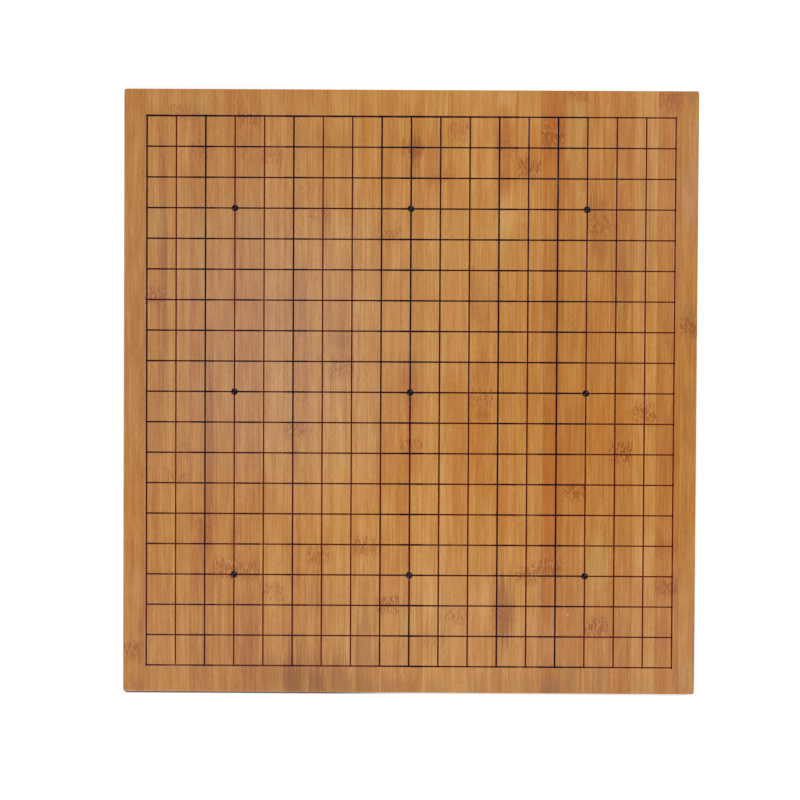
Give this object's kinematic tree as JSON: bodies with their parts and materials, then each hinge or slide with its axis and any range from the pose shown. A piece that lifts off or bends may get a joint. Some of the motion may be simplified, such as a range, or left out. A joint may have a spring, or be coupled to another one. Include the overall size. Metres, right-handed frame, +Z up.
{
  "type": "weiqi board",
  "caption": "Flat solid weiqi board of laminated bamboo strips, with an engraved and dark-painted playing grid and hollow star points; it lies loose on a table.",
  "frame": {"origin": "middle of the underside, on the surface that the board lies on", "axes": "+X across the board along the shorter squares, +Y along the bamboo strips and the longer squares, +Z up through the playing face"},
  "size_m": [0.45, 0.474, 0.02],
  "materials": {
    "bamboo_face": "carbonised bamboo, flat-pressed strips, satin clear varnish",
    "bamboo_back": "carbonised bamboo, flat-pressed strips, thinner satin varnish",
    "bamboo_core": "carbonised bamboo on edge, end grain and long grain sanded at the sides, satin varnish",
    "glue_line": "cured wood glue, dark brown thin line",
    "line_paint": "glossy dark paint in the engraved lines",
    "star_paint": "glossy black paint in the star points"
  },
  "bodies": {
    "root": {"back_strip_01": "bamboo_back", "back_strip_02": "bamboo_back", "back_strip_03": "bamboo_back", "back_strip_04": "bamboo_back", "back_strip_05": "bamboo_back", "back_strip_06": "bamboo_back", "back_strip_07": "bamboo_back", "back_strip_08": "bamboo_back", "back_strip_09": "bamboo_back", "back_strip_10": "bamboo_back", "back_strip_11": "bamboo_back", "back_strip_12": "bamboo_back", "back_strip_13": "bamboo_back", "back_strip_14": "bamboo_back", "back_strip_15": "bamboo_back", "back_strip_16": "bamboo_back", "back_strip_17": "bamboo_back", "back_strip_18": "bamboo_back", "back_strip_19": "bamboo_back", "back_strip_20": "bamboo_back", "back_strip_21": "bamboo_back", "back_strip_22": "bamboo_back", "back_strip_23": "bamboo_back", "back_strip_24": "bamboo_back", "back_strip_25": "bamboo_back", "core_strips": "bamboo_core", "face_strip_01": "bamboo_face", "face_strip_02": "bamboo_face", "face_strip_03": "bamboo_face", "face_strip_04": "bamboo_face", "face_strip_05": "bamboo_face", "face_strip_06": "bamboo_face", "face_strip_07": "bamboo_face", "face_strip_08": "bamboo_face", "face_strip_09": "bamboo_face", "face_strip_10": "bamboo_face", "face_strip_11": "bamboo_face", "face_strip_12": "bamboo_face", "face_strip_13": "bamboo_face", "face_strip_14": "bamboo_face", "face_strip_15": "bamboo_face", "face_strip_16": "bamboo_face", "face_strip_17": "bamboo_face", "face_strip_18": "bamboo_face", "face_strip_19": "bamboo_face", "face_strip_20": "bamboo_face", "face_strip_21": "bamboo_face", "face_strip_22": "bamboo_face", "face_strip_23": "bamboo_face", "face_strip_24": "bamboo_face", "face_strip_25": "bamboo_face", "grid_line_paint": "line_paint", "lower_glue_film": "glue_line", "star_point_paint": "star_paint", "upper_glue_film": "glue_line"}
  },
  "joints": []
}
